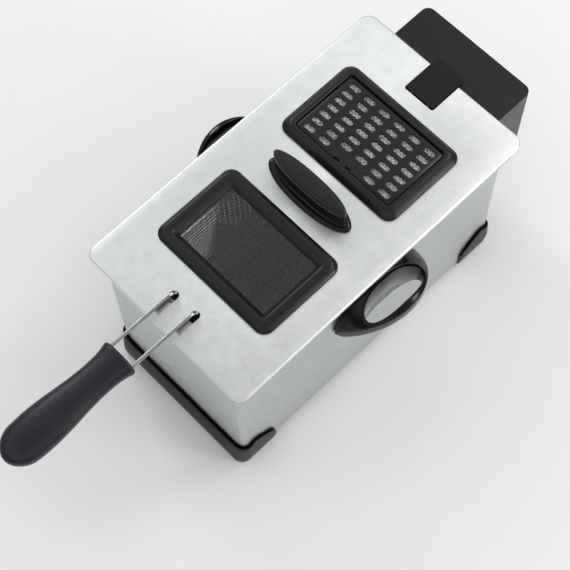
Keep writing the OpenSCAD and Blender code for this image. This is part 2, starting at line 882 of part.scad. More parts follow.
module window_clamp() {
    outer = window_hole + [9, 9];
    low = pane_low - gasket_t - clamp_t;
    color(black) placed() translate([0, window_y, 0]) difference() {
        union() {
            ring(outer, sight, 9, 3, low, clamp_t);
            ring(outer, window_hole, 9, 8, low, lid_under - low);
        }
        corners(clamp_screw[0], clamp_screw[1])
            translate([0, 0, low - over]) cylinder(h = 8, r = clamp_r + screw_slack);
    }
}

module clamp_screws() {
    color(dark_steel) placed() translate([0, window_y, 0])
        corners(clamp_screw[0], clamp_screw[1])
            translate([0, 0, pane_low - gasket_t - clamp_t - clamp_r]) screw(clamp_r, 5);
}

cover_low = cover_top - cover_t;
ledge = 3;

module filter_frame() {
    collar = filter_hole - [collar_slack, collar_slack];
    collar_low = lid_top - 4.8;
    color(black) placed() difference() {
        translate([0, filter_y, 0]) {
            difference() {
                union() {
                    bevelled(frame_w, filter_l, frame_r, filter_rise, 8);
                    slab(collar[0], collar[1], 8, collar_low, lid_top - collar_low + 0.5);
                }
                // well of the cover, and the opening below its ledge
                slab(cover[0] + 2 * cover_gap, cover[1] + 2 * cover_gap, 5, cover_low, 10);
                slab(cover[0] - 2 * ledge, cover[1] - 2 * ledge, 3, collar_low - over, 20);
            }
        }
        // room for the cover's rear edge to swing
        block([-cover[0] / 2 - cover_gap, hinge_y - 4, cover_low - 2.4],
              [cover[0] / 2 + cover_gap, filter_y + cover[1] / 2 + cover_gap,
               lid_top + filter_rise + over]);
        rod_x([hinge_y, hinge_z], -cover[0] / 2 - 3.2, cover[0] + 6.4, hinge_r + 0.05);
    }
}

// Slotted cover, hinged along its rear edge
module filter_cover() {
    color(black) placed() {
        difference() {
            translate([0, filter_y, 0]) slab(cover[0], cover[1], 4, cover_low, cover_t);
            translate([0, filter_y, cover_low - over]) linear_extrude(cover_t + 2 * over)
                for (i = [0 : slot_columns - 1], j = [0 : slot_rows - 1])
                    if (j > 0 || abs(i - (slot_columns - 1) / 2) > 1)
                        translate([(i - (slot_columns - 1) / 2) * slot_pitch[0],
                                   (j - (slot_rows - 1) / 2) * slot_pitch[1]])
                            round_rect(slot[0], slot[1], slot[1] / 2 - 0.01);
            // finger notch in the front edge
            block([-11, filter_y - cover[1] / 2 - over, cover_low - over],
                  [11, filter_y - cover[1] / 2 + 2.5, cover_top + over]);
        }
        // latch tab in the notch
        block([-4, filter_y - cover[1] / 2, cover_low + 0.6],
              [4, filter_y - cover[1] / 2 + 3, cover_top - 0.4]);
        for (side = [0, 1]) mirror([side, 0, 0])
            rod_x([hinge_y, hinge_z], cover[0] / 2 - 2, 4.8, hinge_r);
    }
}

filter_area = [cover[0] - 2 * ledge - 0.6, cover[1] - 2 * ledge - 0.6];
carbon_t = 5;
mesh_low = cover_low - 1.6;

module mesh_filter() {
    color(bright_steel) placed() translate([0, filter_y, 0])
        slab(filter_area[0], filter_area[1], 2.7, mesh_low, 1.2);
}

module grease_filter() {
    low = tray_low + 1.2 + carbon_t;
    color(fleece) placed() translate([0, filter_y, 0])
        slab(filter_area[0], filter_area[1], 2.7, low, mesh_low - low);
}

module carbon_filter() {
    color(charcoal) placed() translate([0, filter_y, 0])
        slab(filter_area[0], filter_area[1], 2.7, tray_low + 1.2, carbon_t);
}

module filter_tray() {
    outer = filter_hole - [collar_slack, collar_slack];
    top = lid_top - 4.8;
    color(soft_black) placed() translate([0, filter_y, 0]) difference() {
        slab(outer[0], outer[1], 8, tray_low, top - tray_low);
        slab(outer[0] - 2.4, outer[1] - 2.4, 6.8, tray_low + 1.2, 20);
        for (x = [-50 : 20 : 50])
            translate([x, 0, tray_low - over]) linear_extrude(4) round_rect(7, 60, 3.4);
    }
}

// Flat outline between two arcs, with blunt ends
module lens(l, w, blunt) {
    half_l = l / 2 + blunt;
    arc = (half_l * half_l + w * w / 4) / w;
    intersection() {
        translate([0, w / 2 - arc]) circle(arc, $fn = 256);
        translate([0, arc - w / 2]) circle(arc, $fn = 256);
        round_rect(l, w, w / 4);
    }
}

module lid_handle_base() {
    color(black) placed() translate([0, lid_handle_y, lid_top]) difference() {
        linear_extrude(4) lens(lid_handle_l, lid_handle_w, 6);
        for (x = [-1, 1]) translate([x * grip_screw_x, 0, -over])
            cylinder(h = 6, r = screw_r + screw_slack);
    }
}

// Upright fin with hollow sides
module lid_handle_grip() {
    low = lid_top + 4;
    fin_w = 16;
    hollow_r = 12;
    color(black) placed() difference() {
        translate([0, lid_handle_y, low]) linear_extrude(grip_top - low) lens(97, fin_w, 24);
        for (side = [-1, 1])
            rod_x([lid_handle_y + side * (hollow_r + 5.4), (low + grip_top) / 2 - 0.5],
                  -60, 120, hollow_r);
        for (x = [-1, 1]) translate([x * grip_screw_x, lid_handle_y, low - over])
            cylinder(h = 12, r = screw_r + screw_slack);
    }
}

module lid_handle_screws() {
    under = lid_under - liner_gap - liner_t;
    color(dark_steel) placed() for (x = [-1, 1])
        translate([x * grip_screw_x, lid_handle_y, under - screw_r]) screw(screw_r, 16);
}

housing();
bottom_plate();
base_front();
base_rear();
foot_pads();
base_screws();
side_handle_left();
side_handle_right();
handle_screws();
badge();
control_rails();
oil_pot();
control_housing();
control_inner_plate();
control_screws();
control_neck();
heating_element();
element_bracket();
element_clips();
sensor_tubes();
thermostat();
safety_cutout();
safety_switch();
terminal_block();
power_inlet();
inlet_pins();
power_lamp();
ready_lamp();
switch_bezel();
thermostat_knob();
thermostat_shaft();
power_switch();
reset_button();
basket_mesh();
basket_rim();
handle_wires();
handle_bracket();
handle_crossbar();
basket_grip();
lid_panel();
lid_liner();
window_frame();
window_glass();
window_gasket();
window_clamp();
clamp_screws();
filter_frame();
filter_cover();
mesh_filter();
grease_filter();
carbon_filter();
filter_tray();
lid_handle_base();
lid_handle_grip();
lid_handle_screws();
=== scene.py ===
import json
import math
import bmesh
import bpy
from mathutils import Matrix, Vector, noise


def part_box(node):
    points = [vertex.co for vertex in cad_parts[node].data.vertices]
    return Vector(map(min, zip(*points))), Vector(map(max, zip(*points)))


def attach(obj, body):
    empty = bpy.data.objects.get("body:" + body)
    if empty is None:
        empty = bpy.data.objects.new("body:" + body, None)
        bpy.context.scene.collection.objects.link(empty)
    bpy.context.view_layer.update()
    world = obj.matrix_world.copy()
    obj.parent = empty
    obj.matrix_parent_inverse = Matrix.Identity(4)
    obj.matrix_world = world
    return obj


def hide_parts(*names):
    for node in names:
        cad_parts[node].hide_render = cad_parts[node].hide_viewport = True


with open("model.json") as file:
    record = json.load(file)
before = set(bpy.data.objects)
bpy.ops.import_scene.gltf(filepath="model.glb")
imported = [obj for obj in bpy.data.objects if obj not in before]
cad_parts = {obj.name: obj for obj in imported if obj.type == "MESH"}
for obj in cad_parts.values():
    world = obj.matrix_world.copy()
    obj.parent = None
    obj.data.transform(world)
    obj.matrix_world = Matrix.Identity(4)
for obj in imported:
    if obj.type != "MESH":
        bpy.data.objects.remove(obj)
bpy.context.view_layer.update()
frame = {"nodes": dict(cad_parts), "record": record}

MM = 0.001
CORNER_STEPS = 8

# ---------------------------------------------------------------- places

HOUSING_LOW, HOUSING_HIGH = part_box("housing")
MID_Y = (HOUSING_LOW.y + HOUSING_HIGH.y) / 2 / MM      # middle of the housing, in mm
LID_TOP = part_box("lid_panel")[1].z / MM


def at(x, y, z):
    """A point given in mm from the middle of the housing, in metres from the origin."""
    return Vector((x * MM, (y + MID_Y) * MM, z * MM))


# ---------------------------------------------------------------- camera and light

LENS = 93.5
CAMERA_PLACE = at(462.5, -454.2, 1514.8)
CAMERA_TURN = (47.76, 66.6, -2.23)                     # azimuth, elevation and roll, in degrees
LIT_PLACE = Vector((0, 0, 0.1))
WARM, COOL = (1, 0.985, 0.96), (0.96, 0.98, 1)
SKY = ((0.0, 0.66), (0.07, 0.66), (0.10, 0.13), (0.30, 0.28), (0.60, 1.0), (0.86, 1.0), (0.95, 0.45))
SKY_STRENGTH = 0.92
FLOOR_REACH = 14.0                                     # in metres, so that low views see no edge


def aim(azimuth, elevation, roll):
    """Rotation of a camera that looks along an azimuth from +Y, down by elevation, in degrees."""
    az, el, ro = (math.radians(v) for v in (azimuth, elevation, roll))
    forward = Vector((-math.sin(az) * math.cos(el), math.cos(az) * math.cos(el), -math.sin(el)))
    right = forward.cross(Vector((0, 0, 1))).normalized()
    up = right.cross(forward)
    side = right * math.cos(ro) + up * math.sin(ro)
    head = up * math.cos(ro) - right * math.sin(ro)
    return Matrix((side, head, -forward)).transposed().to_4x4()


def make_camera():
    """Long lens from the front right, looking steeply down."""
    data = bpy.data.cameras.new("camera")
    data.lens = LENS
    data.sensor_width = 36
    data.clip_start = 0.05
    camera = bpy.data.objects.new("camera", data)
    bpy.context.scene.collection.objects.link(camera)
    camera.matrix_world = Matrix.Translation(CAMERA_PLACE) @ aim(*CAMERA_TURN)
    bpy.context.scene.camera = camera


def soft_light(name, place, size, watts, tint):
    """A rectangular lamp that looks at the lower part of the fryer."""
    data = bpy.data.lights.new(name, "AREA")
    data.shape = "RECTANGLE"
    data.size, data.size_y = size
    data.energy = watts
    data.color = tint
    lamp = bpy.data.objects.new(name, data)
    bpy.context.scene.collection.objects.link(lamp)
    lamp.location = place
    lamp.rotation_euler = (LIT_PLACE - Vector(place)).to_track_quat("-Z", "Y").to_euler()


def make_studio():
    """Soft dome with a pale horizon, dim low down and overhead, and three large lamps."""
    world = bpy.data.worlds.new("studio")
    bpy.context.scene.world = world
    world.use_nodes = True
    nodes, links = world.node_tree.nodes, world.node_tree.links
    where = nodes.new("ShaderNodeTexCoord")
    split = nodes.new("ShaderNodeSeparateXYZ")
    ramp = nodes.new("ShaderNodeValToRGB")
    for k, (height, level) in enumerate(SKY):
        stop = ramp.color_ramp.elements[k] if k < 2 else ramp.color_ramp.elements.new(height)
        stop.position = height
        stop.color = (0.97 * level, 0.985 * level, level, 1)
    links.new(where.outputs["Generated"], split.inputs[0])
    links.new(split.outputs["Z"], ramp.inputs["Fac"])
    background = nodes["Background"]
    links.new(ramp.outputs["Color"], background.inputs["Color"])
    background.inputs["Strength"].default_value = SKY_STRENGTH
    soft_light("overhead", (0.5, 1.9, 2.5), (1.2, 0.8), 16, WARM)
    soft_light("right", (2.3, 1.2, 1.0), (1.0, 0.8), 18, WARM)
    soft_light("left", (-2.0, 0.6, 1.6), (0.7, 0.7), 10, COOL)


def set_tones():
    """Plain tone curve, so that the pale floor stays pale."""
    bpy.context.scene.view_settings.view_transform = "Standard"


def make_floor():
    """Plain pale sheet under the fryer."""
    mesh = bpy.data.meshes.new("floor")
    corners = [(x * FLOOR_REACH, y * FLOOR_REACH, 0) for x, y in ((-1, -1), (1, -1), (1, 1), (-1, 1))]
    mesh.from_pydata(corners, [], [(0, 1, 2, 3)])
    floor = bpy.data.objects.new("floor", mesh)
    bpy.context.scene.collection.objects.link(floor)
    floor.data.materials.append(pale_floor())


# ---------------------------------------------------------------- materials

FIELD_LOW, FIELD_HIGH = 0.3, 0.7                       # the part of a noise field that is used


def new_material(name):
    """An empty material, with its nodes, links and surface shader."""
    material = bpy.data.materials.new(name)
    material.use_nodes = True
    nodes = material.node_tree.nodes
    return material, nodes, material.node_tree.links, nodes["Principled BSDF"]


def coordinates(nodes, links, scale):
    """Object coordinates stretched by scale, in features per metre along each axis."""
    where = nodes.new("ShaderNodeTexCoord")
    mapping = nodes.new("ShaderNodeMapping")
    mapping.inputs["Scale"].default_value = scale
    links.new(where.outputs["Object"], mapping.inputs["Vector"])
    return mapping.outputs["Vector"]


def noise_field(nodes, links, scale, detail=4.0, rough=0.6):
    """A cloudy field from 0 to 1, with most of it between FIELD_LOW and FIELD_HIGH."""
    texture = nodes.new("ShaderNodeTexNoise")
    texture.inputs["Scale"].default_value = 1.0
    texture.inputs["Detail"].default_value = detail
    texture.inputs["Roughness"].default_value = rough
    links.new(coordinates(nodes, links, scale), texture.inputs["Vector"])
    return texture.outputs["Fac"]


def spread(nodes, links, value, low, high):
    """Maps the middle of a noise field to the range from low to high."""
    remap = nodes.new("ShaderNodeMapRange")
    remap.inputs["From Min"].default_value = FIELD_LOW
    remap.inputs["From Max"].default_value = FIELD_HIGH
    remap.inputs["To Min"].default_value = low
    remap.inputs["To Max"].default_value = high
    links.new(value, remap.inputs["Value"])
    return remap.outputs["Result"]


def blend_colours(nodes, links, value, dark, light):
    """Maps the middle of a noise field to the colours from dark to light."""
    ramp = nodes.new("ShaderNodeValToRGB")
    for stop, position, colour in zip(ramp.color_ramp.elements, (FIELD_LOW, FIELD_HIGH), (dark, light)):
        stop.position = position
        stop.color = (*colour, 1)
    links.new(value, ramp.inputs["Fac"])
    return ramp.outputs["Color"]


def bumps(nodes, links, value, strength, distance, under=None):
    """Turns a field into surface relief, on top of the relief under it if there is one."""
    bump = nodes.new("ShaderNodeBump")
    bump.inputs["Strength"].default_value = strength
    bump.inputs["Distance"].default_value = distance
    links.new(value, bump.inputs["Height"])
    if under is not None:
        links.new(under, bump.inputs["Normal"])
    return bump.outputs["Normal"]


def weigh(nodes, links, first, second, share):
    """Mixes two fields, with this share of the first."""
    parts = []
    for value, factor in ((first, share), (second, 1 - share)):
        product = nodes.new("ShaderNodeMath")
        product.operation = "MULTIPLY"
        product.inputs[1].default_value = factor
        links.new(value, product.inputs[0])
        parts.append(product.outputs[0])
    total = nodes.new("ShaderNodeMath")
    links.new(parts[0], total.inputs[0])
    links.new(parts[1], total.inputs[1])
    return total.outputs[0]


def brushed_steel(name, dark, light, rough, grain=(90, 2600, 2600)):
    """Satin steel: fine brush lines, faint blotches and a little uneven gloss."""
    material, nodes, links, surface = new_material(name)
    surface.inputs["Metallic"].default_value = 1.0
    surface.inputs["Anisotropic"].default_value = 0.35
    lines = noise_field(nodes, links, grain, 3.0, 0.7)
    blotches = noise_field(nodes, links, (70, 70, 70), 6.0, 0.7)
    speckle = noise_field(nodes, links, (520, 520, 520), 3.0, 0.6)
    grained = weigh(nodes, links, lines, speckle, 0.45)
    mixed = weigh(nodes, links, blotches, grained, 0.35)
    links.new(blend_colours(nodes, links, mixed, dark, light), surface.inputs["Base Color"])
    links.new(spread(nodes, links, mixed, rough - 0.06, rough + 0.09), surface.inputs["Roughness"])
    fine = bumps(nodes, links, lines, 0.12, 0.0004)
    links.new(bumps(nodes, links, speckle, 0.05, 0.0003, fine), surface.inputs["Normal"])
    return material


def sheet_metal(name, tone, rough):
    """Plain rolled sheet with a cloudy gloss."""
    material, nodes, links, surface = new_material(name)
    surface.inputs["Metallic"].default_value = 1.0
    clouds = noise_field(nodes, links, (45, 45, 45), 5.0)
    dark = tuple(0.82 * c for c in tone)
    links.new(blend_colours(nodes, links, clouds, dark, tone), surface.inputs["Base Color"])
    links.new(spread(nodes, links, clouds, rough - 0.06, rough + 0.08), surface.inputs["Roughness"])
    links.new(bumps(nodes, links, clouds, 0.05, 0.001), surface.inputs["Normal"])
    return material


def chrome(name, dark=0.56, light=0.68):
    """Polished metal with a slight haze."""
    material, nodes, links, surface = new_material(name)
    surface.inputs["Metallic"].default_value = 1.0
    haze = noise_field(nodes, links, (160, 160, 160), 3.0)
    tones = [(tone, tone, 1.02 * tone) for tone in (dark, light)]
    links.new(blend_colours(nodes, links, haze, *tones), surface.inputs["Base Color"])
    links.new(spread(nodes, links, haze, 0.08, 0.18), surface.inputs["Roughness"])
    return material


def moulded_plastic(name, tone, rough, texture, depth, coat=0.0, shine=0.5):
    """Injection-moulded plastic: a fine spark-eroded texture and slightly uneven gloss."""
    material, nodes, links, surface = new_material(name)
    clouds = noise_field(nodes, links, (30, 30, 30), 4.0)
    light = tuple(c * 1.35 for c in tone)
    links.new(blend_colours(nodes, links, clouds, tone, light), surface.inputs["Base Color"])
    links.new(spread(nodes, links, clouds, rough - 0.04, rough + 0.06), surface.inputs["Roughness"])
    surface.inputs["Specular IOR Level"].default_value = shine
    surface.inputs["Coat Weight"].default_value = coat
    surface.inputs["Coat Roughness"].default_value = 0.08
    grains = noise_field(nodes, links, (texture, texture, texture), 2.0, 0.5)
    links.new(bumps(nodes, links, grains, 0.25, depth), surface.inputs["Normal"])
    return material


def clear_glass(name):
    """Faintly green glass with a thin uneven film on it."""
    material, nodes, links, surface = new_material(name)
    surface.inputs["Transmission Weight"].default_value = 1.0
    surface.inputs["IOR"].default_value = 1.45
    film = noise_field(nodes, links, (35, 35, 35), 4.0)
    links.new(blend_colours(nodes, links, film, (0.93, 0.96, 0.95), (0.98, 0.99, 0.98)),
              surface.inputs["Base Color"])
    links.new(spread(nodes, links, film, 0.0, 0.05), surface.inputs["Roughness"])
    return material


def felt(name, dark, light):
    """Matted fibres."""
    material, nodes, links, surface = new_material(name)
    fibres = noise_field(nodes, links, (900, 900, 900), 6.0, 0.8)
    links.new(blend_colours(nodes, links, fibres, dark, light), surface.inputs["Base Color"])
    surface.inputs["Roughness"].default_value = 0.95
    surface.inputs["Sheen Weight"].default_value = 0.4
    links.new(bumps(nodes, links, fibres, 0.8, 0.001), surface.inputs["Normal"])
    return material


def pale_floor():
    """Smooth matt floor with the faintest clouds."""
    material, nodes, links, surface = new_material("pale_floor")
    clouds = noise_field(nodes, links, (3, 3, 3), 4.0)
    links.new(blend_colours(nodes, links, clouds, (0.91, 0.915, 0.91), (0.95, 0.95, 0.945)),
              surface.inputs["Base Color"])
    surface.inputs["Roughness"].default_value = 0.55
    surface.inputs["Specular IOR Level"].default_value = 0.25
    return material


FINISH = {
    "steel": brushed_steel("steel", (0.46, 0.475, 0.48), (0.64, 0.655, 0.66), 0.33),
    "bright_steel": chrome("bright_steel"),
    "dark_steel": sheet_metal("dark_steel", (0.52, 0.52, 0.53), 0.32),
    "black_plastic": moulded_plastic("black_plastic", (0.0045, 0.0052, 0.0068), 0.30, 1500, 0.0002,
                                     0.0, 0.36),
    "satin_black": moulded_plastic("satin_black", (0.0045, 0.005, 0.006), 0.24, 1500, 0.00015, 0.15,
                                   0.36),
    "gloss_black": moulded_plastic("gloss_black", (0.0025, 0.0025, 0.0035), 0.12, 300, 0.00005,
                                   0.1, 0.24),
    "foot_black": moulded_plastic("foot_black", (0.0035, 0.004, 0.005), 0.38, 2200, 0.0003, 0.0,
                                  0.24),
    "soft_black": moulded_plastic("soft_black", (0.006, 0.0075, 0.011), 0.33, 2200, 0.0003, 0.0,
                                  0.42),
    "glass": clear_glass("glass"),
    "rubber": moulded_plastic("rubber", (0.02, 0.02, 0.02), 0.7, 1200, 0.0005),
    "fleece": felt("fleece", (0.66, 0.64, 0.58), (0.86, 0.84, 0.78)),
    "charcoal": felt("charcoal", (0.015, 0.015, 0.015), (0.06, 0.06, 0.06)),
    "brass": sheet_metal("brass", (0.78, 0.58, 0.24), 0.25),
    "red_plastic": moulded_plastic("red_plastic", (0.55, 0.03, 0.02), 0.2, 400, 0.0001, 0.5),
    "green_plastic": moulded_plastic("green_plastic", (0.03, 0.35, 0.07), 0.2, 400, 0.0001, 0.5),
    "ceramic": moulded_plastic("ceramic", (0.72, 0.71, 0.66), 0.3, 800, 0.0002),
}
FINISH["wire_chrome"] = chrome("wire_chrome", 0.30, 0.42)
FINISH["foil_steel"] = chrome("foil_steel", 0.84, 0.94)
FINISH["lid_steel"] = brushed_steel("lid_steel", (0.70, 0.71, 0.71), (0.88, 0.89, 0.89), 0.36,
                                    (2600, 90, 2600))

# ---------------------------------------------------------------- mesh helpers


def rounded(w, l, r):
    """Corner-rounded rectangle about the origin, as points counter-clockwise."""
    points = []
    for quarter, (sx, sy) in enumerate(((1, 1), (-1, 1), (-1, -1), (1, -1))):
        centre = (sx * (w / 2 - r), sy * (l / 2 - r))
        for i in range(CORNER_STEPS + 1):
            a = math.pi / 2 * (quarter + i / CORNER_STEPS)
            points.append((centre[0] + r * math.cos(a), centre[1] + r * math.sin(a)))
    return points


def ring(w, l, r, z, y=0.0):
    """A rounded rectangle at height z, in mm from the middle of the housing."""
    return [at(px, py + y, z) for px, py in rounded(w, l, r)]


def turn(points, count, start, centre, radius):
    """Adds count + 1 points of a quarter arc from angle start, in degrees, to a list of pairs."""
    for i in range(count + 1):
        a = math.radians(start + 90 * i / count)
        points.append((centre[0] + radius * math.cos(a), centre[1] + radius * math.sin(a)))


class Shape:
    """A mesh under construction."""

    def __init__(self):
        self.bm = bmesh.new()

    def loft(self, rings, closed=False):
        """Joins rings with equally many points, and closes the ends or the loop."""
        rows = [[self.bm.verts.new(p) for p in points] for points in rings]
        pairs = list(zip(rows, rows[1:]))
        if closed:
            pairs.append((rows[-1], rows[0]))
        count = len(rows[0])
        for a, b in pairs:
            for i in range(count):
                j = (i + 1) % count
                self.bm.faces.new((a[i], a[j], b[j], b[i]))
        if not closed:
            self.bm.faces.new(list(reversed(rows[0])))
            self.bm.faces.new(rows[-1])

    def tube(self, path, radius, sides=10, closed=False):
        """Sweeps a circle along a path of points in metres; radius is in mm."""
        path = [Vector(p) for p in path]
        count = len(path)
        tangents = []
        for i, p in enumerate(path):
            before = path[i - 1] if closed or i else p
            after = path[(i + 1) % count] if closed or i < count - 1 else p
            tangents.append((after - before).normalized())
        seed = Vector((0, 0, 1)) if abs(tangents[0].z) < 0.9 else Vector((1, 0, 0))
        side = tangents[0].cross(seed).normalized()
        rings = []
        for p, t in zip(path, tangents):
            side = (side - t * side.dot(t)).normalized()
            up = t.cross(side)
            rings.append([p + (side * math.cos(2 * math.pi * k / sides)
                               + up * math.sin(2 * math.pi * k / sides)) * radius * MM
                          for k in range(sides)])
        self.loft(rings, closed=closed)

    def block(self, low, high):
        """A box between two corners in mm."""
        corners = [(low[0], low[1]), (high[0], low[1]), (high[0], high[1]), (low[0], high[1])]
        self.loft([[at(x, y, z) for x, y in corners] for z in (low[2], high[2])])

    def prism(self, outline, z_low, z_high, y=0.0, x=0.0):
        """An upright prism over an outline in mm."""
        self.loft([[at(px + x, py + y, z) for px, py in outline] for z in (z_low, z_high)])

    def finish(self, name, angle=38):
        """Turns the mesh into an object, with edges sharper than the angle kept sharp."""
        bmesh.ops.recalc_face_normals(self.bm, faces=self.bm.faces)
        mesh = bpy.data.meshes.new(name)
        self.bm.to_mesh(mesh)
        self.bm.free()
        mesh.shade_smooth()
        mesh.set_sharp_from_angle(angle=math.radians(angle))
        thing = bpy.data.objects.new(name, mesh)
        bpy.context.scene.collection.objects.link(thing)
        return thing


def apply_modifiers(thing):
    """Bakes the modifiers of a piece into its mesh."""
    bpy.context.view_layer.update()
    solid = thing.evaluated_get(bpy.context.evaluated_depsgraph_get())
    mesh = bpy.data.meshes.new_from_object(solid)
    thing.modifiers.clear()
    thing.data = mesh


def cut(thing, cutter, angle=38):
    """Takes the cutter's volume out of a piece and removes the cutter."""
    modifier = thing.modifiers.new("cut", "BOOLEAN")
    modifier.operation = "DIFFERENCE"
    modifier.solver = "EXACT"
    modifier.object = cutter
    apply_modifiers(thing)
    bpy.data.objects.remove(cutter)
    thing.data.shade_smooth()
    thing.data.set_sharp_from_angle(angle=math.radians(angle))


def soften(thing, width, segments=2, angle=35):
    """Rounds the sharp edges of a piece by width in mm."""
    bevel = thing.modifiers.new("soften", "BEVEL")
    bevel.width = width * MM
    bevel.segments = segments
    bevel.limit_method = "ANGLE"
    bevel.angle_limit = math.radians(angle)
    bevel.harden_normals = True


def piece(thing, finish, body, *nodes, slot=None):
    """Gives a piece its finish, the body that it moves with and the CAD nodes that it stands for."""
    thing.data.materials.clear()
    thing.data.materials.append(FINISH[finish])
    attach(thing, body)
    if nodes:
        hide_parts(*nodes)


# ---------------------------------------------------------------- CAD pieces that stay

EDGE = {
    "control_housing": 1.2, "control_neck": 1.4, "badge": 0.35, "foot_pads": 0.6,
    "power_inlet": 0.5, "switch_bezel": 0.5, "power_switch": 0.4, "reset_button": 0.6,
    "power_lamp": 0.9, "ready_lamp": 0.9, "thermostat": 0.8, "safety_cutout": 0.8,
    "terminal_block": 0.8, "safety_switch": 0.6,
}


def dress_cad_nodes():
    """Every CAD node gets its finish, welded seams and slightly rounded edges."""
    slots = {s["node"]: s["material_slot"] for s in frame["record"]["subparts"]}
    for name, thing in frame["nodes"].items():
        thing.data.materials.clear()
        thing.data.materials.append(FINISH[slots[name]])
        weld = thing.modifiers.new("weld", "WELD")
        weld.merge_threshold = 0.00001
        soften(thing, EDGE.get(name, 0.25))


# ---------------------------------------------------------------- lid

WINDOW_Y = -81
FILTER_Y = 85.2
WIRE_X = 14.5


def size_of(node):
    """Width, length and height of a CAD node, in mm."""
    low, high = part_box(node)
    return [v / MM for v in high - low]


def make_lid_panel():
    """Sheet plate with a rolled edge, cut for the window, the filter, the wires and the neck."""
    w, l, drop = size_of("lid_panel")
    corner, sheet, bend = 12, 0.8, 2.4
    profile = [(bend, -sheet), (sheet + 0.6, -bend), (sheet, -bend - 0.6), (sheet, -drop + 0.2),
               (sheet / 2, -drop), (0, -drop + 0.2)]
    turn(profile, 6, 180, (bend, -bend), bend)
    profile = [(i, z) if k < 6 else (i, -2 * bend - z) for k, (i, z) in enumerate(profile)]
    shape = Shape()
    shape.loft([ring(w - 2 * i, l - 2 * i, corner - i, LID_TOP + z) for i, z in profile])
    lid = shape.finish("lid_plate")
    cutter = Shape()
    low, high = LID_TOP - drop - 1, LID_TOP + 1
    cutter.prism(rounded(140, 91, 8), low, high, WINDOW_Y)
    cutter.prism(rounded(142, 92, 8), low, high, FILTER_Y)
    slot_w, slot_l, notch_w, notch_l = 8.5, 37, 39, 40
    for x in (-WIRE_X, WIRE_X):
        cutter.prism(rounded(slot_w, 2 * slot_l, slot_w / 2 - 0.01), low, high, -l / 2, x)
    cutter.prism(rounded(notch_w, 2 * notch_l, 3), low, high, l / 2)
    cut(lid, cutter.finish("cutter"))
    piece(lid, "lid_steel", "lid", "lid_panel", slot="steel")


def make_frame(name, outer, y, profile, corner, shrink, across):
    """A moulded frame on the lid. profile holds pairs of inset and height above the lid."""
    shape = Shape()
    shape.loft([ring(outer[0] - 2 * i, outer[1] - 2 * i * across, max(corner - shrink * i, 1.5),
                     LID_TOP + z, y) for i, z in profile], closed=True)
    return shape.finish(name, 30)


def make_window_frame():
    """Broad flat frame whose inner edge slopes down to the glass."""
    w, l, _ = size_of("window_frame")
    profile = [(0, 0.03), (0, 1.3), (0.25, 2.0), (0.8, 2.7), (3.6, 4.7), (4.3, 5.15), (5.2, 5.4),
               (6.4, 5.5), (11.6, 5.5), (12.6, 5.35), (13.4, 4.9), (17.3, 2.1), (17.8, 1.6),
               (18, 1.22), (13.7, 1.22), (13.7, -2.8), (7.4, -2.8), (7.4, 0.03)]
    frame_piece = make_frame("window_surround", (w, l), WINDOW_Y, profile, 12, 0.53, 0.944)
    piece(frame_piece, "black_plastic", "lid", "window_frame")


def make_filter_frame():
    """Raised frame with a seat for the slotted cover and room for its hinge."""
    w, l, _ = size_of("filter_frame")
    profile = [(0, 0.03), (0, 1.5), (0.3, 2.3), (0.9, 3.0), (5.6, 6.3), (6.6, 6.9), (7.6, 7.3),
               (8.8, 7.5), (11.1, 7.5), (11.9, 7.35), (12.3, 7.0), (12.5, 6.5), (12.5, 3.0),
               (16.5, 3.0), (16.5, -4.8), (6.4, -4.8), (6.4, 0.03)]
    frame_piece = make_frame("filter_surround", (w, l), FILTER_Y, profile, 12, 0.6, 0.915)
    room = Shape()
    room.block((-64.5, HINGE_Y - 4, LID_TOP + 0.6), (64.5, HINGE_Y + 2.6, LID_TOP + 6))
    cut(frame_piece, room.finish("room"), 30)
    piece(frame_piece, "black_plastic", "lid", "filter_frame")


COVER = (127, 79)
HINGE_Y = FILTER_Y + COVER[1] / 2 - 1.6
COVER_LOW = 3.0
COVER_TOP = 5.5


def make_filter_cover():
    """Slotted cover with a finger notch and a latch tab at its front, and hinge pins at its rear."""
    shape = Shape()
    profile = [(0.3, COVER_LOW), (0, COVER_LOW + 0.3), (0, COVER_TOP - 0.7), (0.2, COVER_TOP - 0.3),
               (0.7, COVER_TOP)]
    shape.loft([ring(COVER[0] - 2 * i, COVER[1] - 2 * i, 4 - i, LID_TOP + z, FILTER_Y)
                for i, z in profile])
    cover = shape.finish("vent_cover")
    columns, rows, pitch = 6, 7, (20.4, 10.65)
    front = FILTER_Y - COVER[1] / 2
    cutter = Shape()
    low, high = LID_TOP + COVER_LOW - 1, LID_TOP + COVER_TOP + 1
    for i in range(columns):
        for j in range(rows):
            x = (i - (columns - 1) / 2) * pitch[0]
            y = FILTER_Y + (j - (rows - 1) / 2) * pitch[1]
            if j > 0 or abs(x) > pitch[0]:
                cutter.prism(rounded(14, 6, 2.98), low, high, y, x)
    cutter.prism(rounded(22, 5, 1), low, high, front)
    cut(cover, cutter.finish("cutter"))
    soften(cover, 0.35, 2, 50)
    piece(cover, "black_plastic", "vent_cover", "filter_cover")
    parts = Shape()
    parts.loft([ring(8, 4.2, 0.8, LID_TOP + COVER_LOW + 0.6, front + 1.4),
                ring(8, 4.2, 0.8, LID_TOP + COVER_TOP - 0.8, front + 1.4),
                ring(7, 3.2, 0.6, LID_TOP + COVER_TOP - 0.4, front + 1.4)])
    hinge_z = LID_TOP + (COVER_LOW + COVER_TOP) / 2
    for side in (-1, 1):
        parts.tube([at(side * 61, HINGE_Y, hinge_z), at(side * 66, HINGE_Y, hinge_z)], 1.15, 16)
    piece(parts.finish("vent_cover_latch"), "black_plastic", "vent_cover", slot="black_plastic")


